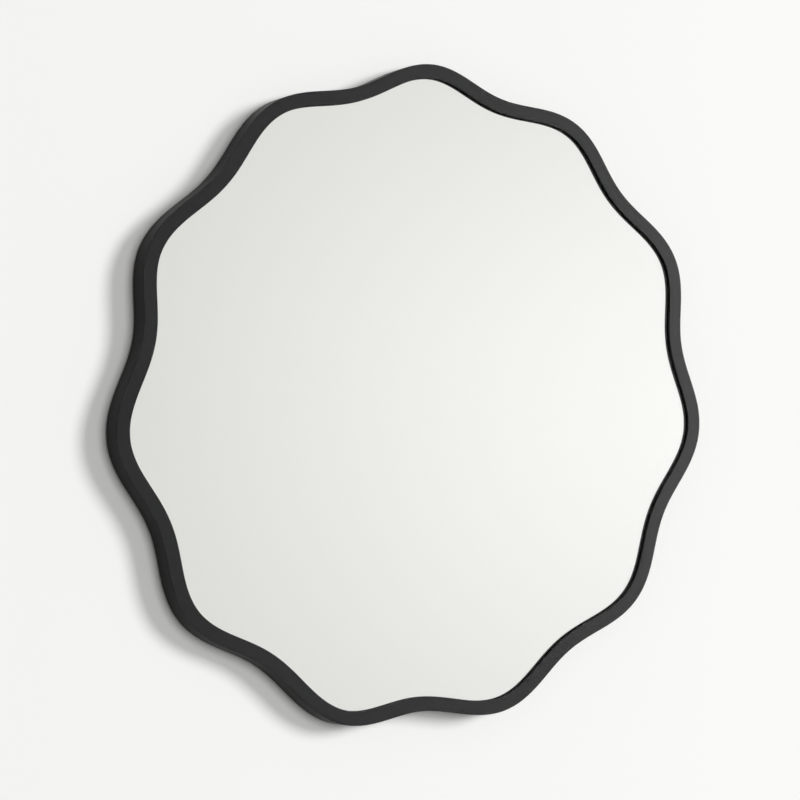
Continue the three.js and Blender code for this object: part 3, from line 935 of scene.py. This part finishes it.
def screw_rings(sizes):
    """Rings from the recess's floor over the head and down to the tip.

    Each has its height, its radius, or its share of the cross's outline, and whether it is a cross.
    """
    head, rounding = sizes.screw_head_height, sizes.screw_head_rounding
    crown = sizes.screw_head - rounding
    rings = [(head - CROSS_DEPTH, CROSS_FLOOR, True), (head - HEAD_EDGE, CROSS_MOUTH, True)]
    rings += [(head, 1.0, True), (head, crown * CROWN_SHARE, False)]
    for step in range(HEAD_STEPS + 1):
        turn = QUARTER_TURN * step / HEAD_STEPS
        reach = crown + rounding * math.sin(turn)
        rings.append((head - rounding + rounding * math.cos(turn), reach, False))
    rings += [(2 * HEAD_EDGE, sizes.screw_head, False), (HEAD_EDGE, sizes.screw_head - HEAD_EDGE, False)]
    rings += [(height, sizes.screw * share, False) for height, share in NECK]
    rings.append((NECK_END, sizes.screw_core, False))
    for along, share in POINT:
        rings.append((along * sizes.screw_point - sizes.screw_length, sizes.screw_core * share, False))
    return rings


def screw_thread(sizes):
    """Right-hand thread: a small triangle spun down the core, running out at both ends."""
    top, bottom = -sizes.screw_pitch, sizes.screw_pitch * THREAD_STOP - sizes.screw_length
    steps = round((top - bottom) / sizes.screw_pitch * THREAD_SIDES)
    flank = sizes.screw_pitch * THREAD_FLANK
    bm = bmesh.new()
    root = sizes.screw_core * THREAD_ROOT
    section = ((root, top + flank), (sizes.screw, top), (root, top - flank))
    verts = [bm.verts.new((reach, 0, height)) for reach, height in section]
    edges = [bm.edges.new(pair) for pair in zip(verts, verts[1:] + verts[:1])]
    bmesh.ops.spin(
        bm, geom=verts + edges, cent=(0, 0, 0), axis=-UP, angle=math.tau * steps / THREAD_SIDES,
        dvec=-UP * sizes.screw_pitch / THREAD_SIDES, steps=steps, use_merge=False,
    )
    for vert in bm.verts:
        reach = math.hypot(vert.co.x, vert.co.y)
        started = min(max((top - vert.co.z) / sizes.screw_pitch, THREAD_START), 1.0)
        left = min(max((vert.co.z + sizes.screw_length) / sizes.screw_point, 0.0), 1.0)
        wanted = (root + (reach - root) * started) * (THREAD_POINT + (1 - THREAD_POINT) * left)
        vert.co.x *= wanted / reach
        vert.co.y *= wanted / reach
    bmesh.ops.holes_fill(bm, edges=bm.edges, sides=len(section))
    bmesh.ops.recalc_face_normals(bm, faces=bm.faces)
    return bm


def pan_head_screw(sizes):
    """Pan-head wood screw along +Z: seat of the head at the origin, cross recess on top."""
    bm = bmesh.new()
    verts = bmesh.ops.create_circle(bm, cap_ends=True, segments=SCREW_SIDES, radius=sizes.screw)["verts"]
    floor = bm.faces[:]
    for index, (height, reach, crossed) in enumerate(screw_rings(sizes)):
        if index > 0:
            verts = drawn_out(bm, edges_between(verts))
        for vert in verts:
            turn = math.atan2(vert.co.y, vert.co.x)
            wide = reach * cross_reach(turn) if crossed else reach
            vert.co = (wide * math.cos(turn), wide * math.sin(turn), height)
    bmesh.ops.poke(bm, faces=floor)
    bmesh.ops.holes_fill(bm, edges=edges_between(verts), sides=SCREW_SIDES)
    bmesh.ops.recalc_face_normals(bm, faces=bm.faces)
    thread = bpy.data.meshes.new("thread")
    wound = screw_thread(sizes)
    wound.to_mesh(thread)
    wound.free()
    bm.from_mesh(thread)
    bpy.data.meshes.remove(thread)
    return bm


def screw_seat(node, into):
    """Seat of a CAD screw whose tip points along the given direction, from its head's top."""
    points = corner_points(node)
    tip = max(points, key=into.dot)
    top = min(into.dot(point) for point in points)
    return tip + into * (top - into.dot(tip) + bpy.context.scene.mirror_fixings.screw_head_height)


def add_screw(name, node, into, turn):
    """Drives one screw where its CAD node is, with its recess turned as it stopped."""
    sizes = bpy.context.scene.mirror_fixings
    bm = pan_head_screw(sizes)
    stopped = Matrix.Rotation(turn, 4, "Z")
    driven = (-into).to_track_quat("Z", "X").to_matrix().to_4x4()
    place = Matrix.Translation(screw_seat(node, into))
    bmesh.ops.transform(bm, matrix=place @ driven @ stopped, verts=bm.verts)
    add_piece(name, bm, [zinc_plated_screw], MIRROR_BODY, node)


# ---------------------------------------------------------------- bumpers


def wall_bumper(sizes, node):
    """Moulded bumper: a low cone with a rounded rim, its back on the frame."""
    low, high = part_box(node)
    height = high.y - low.y
    reach = (high.x - low.x) / 2
    bm = bmesh.new()
    centre = middle(node)
    turn = Matrix.Rotation(-QUARTER_TURN, 4, "X")
    bmesh.ops.create_cone(
        bm, cap_ends=True, segments=BUMPER_SIDES, radius1=reach, radius2=reach - sizes.bumper_taper,
        depth=height, matrix=Matrix.Translation(centre) @ turn,
    )
    rim = level_edges(bm, lambda vert: vert.co.y > centre.y)
    round_edges(bm, rim, sizes.bumper_rounding, RIM_STEPS)
    bm.normal_update()
    crown = max(bm.faces, key=lambda face: face.calc_area() * face.normal.y)
    bmesh.ops.inset_region(bm, faces=[crown], thickness=sizes.bumper_rounding)
    return bm


# ---------------------------------------------------------------- operators


class MIRROR_OT_frame_ring(bpy.types.Operator):
    """Models the lacquered frame ring on its wavy outline"""

    bl_idname = "wavy_mirror.frame_ring"
    bl_label = "Frame Ring"

    def execute(self, context):
        bm = frame_ring(context.scene.mirror_frame_ring, WavyEdge())
        add_piece("lacquered_frame", bm, [black_lacquer], MIRROR_BODY, "frame")
        return {"FINISHED"}


class MIRROR_OT_plates(bpy.types.Operator):
    """Models the glass pane, its silvering and the backing board"""

    bl_idname = "wavy_mirror.plates"
    bl_label = "Pane and Board"

    def execute(self, context):
        sizes = context.scene.mirror_plates
        edge = WavyEdge()
        silvered = [silvering, mirror_back_paint]
        plates = (
            ("glass_pane", "mirror_glass", sizes.glass_edge, [clear_glass], "clear_glass"),
            ("silvered_layer", "silver_layer", sizes.silver_edge, silvered, "silvering"),
            ("board_back", "backing_board", sizes.board_edge, [fibreboard], "fibreboard"),
        )
        for name, node, edge_break, finishes, slot in plates:
            bm = wavy_plate(edge, sizes.inset, node, edge_break)
            for face in bm.faces:
                face.material_index = 0 if face.normal.y < FACING_FRONT else len(finishes) - 1
            add_piece(name, bm, finishes, MIRROR_BODY, node)
        return {"FINISHED"}


class MIRROR_OT_foam(bpy.types.Operator):
    """Finishes the bedding tape and the foam strips"""

    bl_idname = "wavy_mirror.foam"
    bl_label = "Foam"

    def execute(self, context):
        finishes = {"bedding_tape": black_foam_tape}
        finishes.update(dict.fromkeys(FOAM_STRIPS, white_foam_tape))
        for node, finish in finishes.items():
            NODES[node].material_slots[0].material = material(finish)
        return {"FINISHED"}


class MIRROR_OT_brackets(bpy.types.Operator):
    """Bends the angle brackets that hold the board in the frame"""

    bl_idname = "wavy_mirror.brackets"
    bl_label = "Angle Brackets"

    def execute(self, context):
        sizes = context.scene.mirror_fixings
        for number in BRACKETS:
            bm = angle_bracket(sizes, number)
            node = f"bracket_{number}"
            add_piece(f"angle_{node}", bm, [zinc_plated_steel], MIRROR_BODY, node)
        return {"FINISHED"}


class MIRROR_OT_strap_hangers(bpy.types.Operator):
    """Bends the strap hangers with their rolled eyes"""

    bl_idname = "wavy_mirror.strap_hangers"
    bl_label = "Strap Hangers"

    def execute(self, context):
        sizes = context.scene.mirror_fixings
        for side in SIDES:
            bm = strap_hanger(sizes, side)
            node = f"hanger_strap_{side}"
            name = f"strap_hanger_{side}"
            add_piece(name, bm, [nickel_plated_steel], MIRROR_BODY, node)
        return {"FINISHED"}


class MIRROR_OT_wire_rings(bpy.types.Operator):
    """Bends the wire rings that swing in the hangers"""

    bl_idname = "wavy_mirror.wire_rings"
    bl_label = "Wire Rings"

    def execute(self, context):
        sizes = context.scene.mirror_fixings
        for side in SIDES:
            bm = wire_ring(sizes, side)
            node = f"hanger_ring_{side}"
            body = JOINTS[f"ring_{side}_swing"]["child"]
            add_piece(f"wire_ring_{side}", bm, [nickel_plated_steel], body, node)
        return {"FINISHED"}


class MIRROR_OT_screws(bpy.types.Operator):
    """Drives the screws of the brackets and hangers"""

    bl_idname = "wavy_mirror.screws"
    bl_label = "Screws"

    def execute(self, context):
        driven = []
        for number in BRACKETS:
            _, outwards = bracket_station(number)
            driven.append((f"bracket_board_screw_{number}", -TO_WALL))
            driven.append((f"bracket_frame_screw_{number}", outwards))
        for side in SIDES:
            driven += [(f"hanger_screw_{side}_{place}", -TO_WALL) for place in ("upper", "lower")]
        for index, (node, into) in enumerate(driven):
            add_screw(f"pan_head_{node}", node, into, index * GOLDEN_ANGLE)
        return {"FINISHED"}


class MIRROR_OT_bumpers(bpy.types.Operator):
    """Moulds the wall bumpers"""

    bl_idname = "wavy_mirror.bumpers"
    bl_label = "Wall Bumpers"

    def execute(self, context):
        sizes = context.scene.mirror_fixings
        for corner in BUMPERS:
            node = f"bumper_{corner}"
            bm = wall_bumper(sizes, node)
            add_piece(f"rubber_{node}", bm, [black_rubber], MIRROR_BODY, node)
        return {"FINISHED"}


def aimed(obj, direction):
    """Turns a lamp or camera so that it looks along a direction."""
    obj.rotation_mode = "QUATERNION"
    obj.rotation_quaternion = direction.to_track_quat("-Z", "Y")


def bearing(azimuth, elevation):
    """Unit vector from the mirror towards a place round it; azimuth runs from the front to the right."""
    flat = math.cos(elevation)
    return Vector((math.sin(azimuth) * flat, -math.cos(azimuth) * flat, math.sin(elevation)))


def add_sun(name, towards, energy, softness):
    """A soft, distant lamp that glossy surfaces don't show; they show the room instead."""
    lamp = bpy.data.lights.new(name, "SUN")
    lamp.energy = energy
    lamp.angle = softness
    sun = bpy.data.objects.new(name, lamp)
    sun.visible_glossy = False
    sun.visible_transmission = False
    aimed(sun, -towards)
    bpy.context.scene.collection.objects.link(sun)


def painted_wall(shader):
    """Matt wall paint, darker on the left and lighter on the right as painted light fall-off, see-through
    from behind so that the mirror's back can be looked at.
    """
    studio = bpy.context.scene.mirror_studio
    # Painted light: the wall's colour runs from shaded on the left to lit on the right.
    across = shader.fit(shader.axes()[0], -studio.wall_light_falloff, studio.wall_light_falloff, curve="LINEAR")
    stipple = shader.noise(330.0, detail=2.0)
    paint = shader.add("ShaderNodeBsdfDiffuse", sockets={
        "Color": shader.blend(across, studio.wall_shade_left, studio.wall_light_right),
        "Normal": shader.bump(stipple, 0.00003, 0.3),
    })
    behind = shader.add("ShaderNodeNewGeometry", result="Backfacing")
    clear = shader.add("ShaderNodeBsdfTransparent")
    shader.output(shader.add("ShaderNodeMixShader", sockets={0: behind, 1: paint, 2: clear}))


def studio_world(shader):
    """Even light for matt surfaces, a pale background, and a room with daylight for gloss.

    Satin surfaces also show the bright key side of the room; the mirror itself doesn't.
    """
    studio = bpy.context.scene.mirror_studio
    across, depth, height = shader.axes("Generated")
    turn = across.math("ARCTAN2", across, 0 - depth)
    rise = height.math("ARCSINE", height)
    daylight = shader.fit(turn, studio.daylight_start, studio.daylight_full)
    band = (rise - studio.window_height) / studio.window_reach
    window = height.math("EXPONENT", 0 - band * band)
    room = shader.blend(daylight * window, studio.room_dim, studio.room_bright)
    overhead = shader.fit(rise, studio.ceiling_start, studio.ceiling_full)
    underfoot = shader.fit(0 - rise, studio.carpet_start, studio.carpet_full)
    room = shader.blend(overhead, room, studio.ceiling)
    room = shader.blend(underfoot, room, studio.carpet)
    beside = (turn - studio.sheen_azimuth) / studio.sheen_radius
    above = (rise - studio.sheen_elevation) / studio.sheen_radius
    bright = shader.fit(beside * beside + above * above, *SHEEN_RIM, 1.0, 0.0)
    ray = {
        name: shader.add("ShaderNodeLightPath", result=name)
        for name in ("Is Camera Ray", "Is Diffuse Ray", "Is Singular Ray")
    }
    room = shader.blend(bright * (1 - ray["Is Singular Ray"]), room, (studio.sheen,) * 3)
    seen = shader.blend(ray["Is Diffuse Ray"], room, (studio.ambient,) * 3)
    seen = shader.blend(ray["Is Camera Ray"], seen, (studio.backdrop,) * 3)
    shader.output(shader.add("ShaderNodeBackground", sockets={"Color": seen}), "ShaderNodeOutputWorld")


class MIRROR_OT_studio(bpy.types.Operator):
    """Builds the wall, the lamps, the room that the mirror shows, and the camera"""

    bl_idname = "wavy_mirror.studio"
    bl_label = "Studio"

    wall_reach = 6.0
    wall_under_frame = 0.011

    def execute(self, context):
        self.wall(context)
        studio = context.scene.mirror_studio
        key = bearing(studio.key_azimuth, studio.key_elevation)
        fill = bearing(studio.fill_azimuth, studio.fill_elevation)
        back = bearing(studio.back_azimuth, studio.back_elevation)
        add_sun("key_light", key, studio.key_energy, studio.key_softness)
        add_sun("fill_light", fill, studio.fill_energy, studio.fill_softness)
        add_sun("back_light", back, studio.back_energy, studio.key_softness)
        context.scene.world = bpy.data.worlds.new("studio")
        context.scene.world.cycles.sampling_method = "NONE"
        studio_world(Shader(context.scene.world))
        self.camera(context, studio)
        context.scene.view_settings.view_transform = "Standard"
        return {"FINISHED"}

    def wall(self, context):
        edge = WavyEdge()
        touching = CAD_BOX[1][1] + 0.0001
        bm = round_blank(edge, self.wall_under_frame, touching, cap=False)
        edge.lay(bm)
        widened = bmesh.ops.extrude_edge_only(bm, edges=bm.edges[:])["geom"]
        for vert in widened:
            if isinstance(vert, bmesh.types.BMVert):
                flat = Vector((vert.co.x, vert.co.z)).normalized() * self.wall_reach
                vert.co.x, vert.co.z = flat
        bmesh.ops.recalc_face_normals(bm, faces=bm.faces)
        if next(iter(bm.faces)).normal.y > 0:
            bmesh.ops.reverse_faces(bm, faces=bm.faces)
        mesh = bpy.data.meshes.new("wall")
        bm.to_mesh(mesh)
        bm.free()
        mesh.materials.append(material(painted_wall))
        wall = bpy.data.objects.new("wall", mesh)
        context.scene.collection.objects.link(wall)
        wall.visible_shadow = False  # so that the light on the back reaches the bumpers

    def camera(self, context, studio):
        low, high = (Vector(corner) for corner in CAD_BOX)
        centre = (low + high) / 2
        centre.y = low.y
        back = bearing(studio.azimuth, studio.elevation)
        right = UP.cross(back).normalized()
        above = back.cross(right)
        aim = centre - right * studio.aim_left - above * studio.aim_down
        lens = bpy.data.cameras.new("camera")
        lens.lens = studio.lens
        camera = bpy.data.objects.new("camera", lens)
        camera.location = centre + back * studio.distance
        aimed(camera, aim - camera.location)
        context.scene.collection.objects.link(camera)
        context.scene.camera = camera


OPERATORS = (
    MIRROR_OT_frame_ring,
    MIRROR_OT_plates,
    MIRROR_OT_foam,
    MIRROR_OT_brackets,
    MIRROR_OT_strap_hangers,
    MIRROR_OT_wire_rings,
    MIRROR_OT_screws,
    MIRROR_OT_bumpers,
    MIRROR_OT_studio,
)


class MIRROR_PT_panel(bpy.types.Panel):
    """Lists the mirror's operators in the sidebar"""

    bl_idname = "MIRROR_PT_panel"
    bl_label = "Wall Mirror"
    bl_space_type = "VIEW_3D"
    bl_region_type = "UI"
    bl_category = "Wall Mirror"

    def draw(self, context):
        for operator in OPERATORS:
            self.layout.operator(operator.bl_idname)


def register():
    for cls in (*SETTINGS.values(), *OPERATORS, MIRROR_PT_panel):
        bpy.utils.register_class(cls)
    for name, group in SETTINGS.items():
        setattr(bpy.types.Scene, name, PointerProperty(type=group))


def unregister():
    for name in SETTINGS:
        delattr(bpy.types.Scene, name)
    for cls in (MIRROR_PT_panel, *reversed(OPERATORS), *SETTINGS.values()):
        bpy.utils.unregister_class(cls)


def main():
    register()
    for operator in OPERATORS:
        group, name = operator.bl_idname.split(".")
        getattr(getattr(bpy.ops, group), name)()


if __name__ == "__main__":
    main()
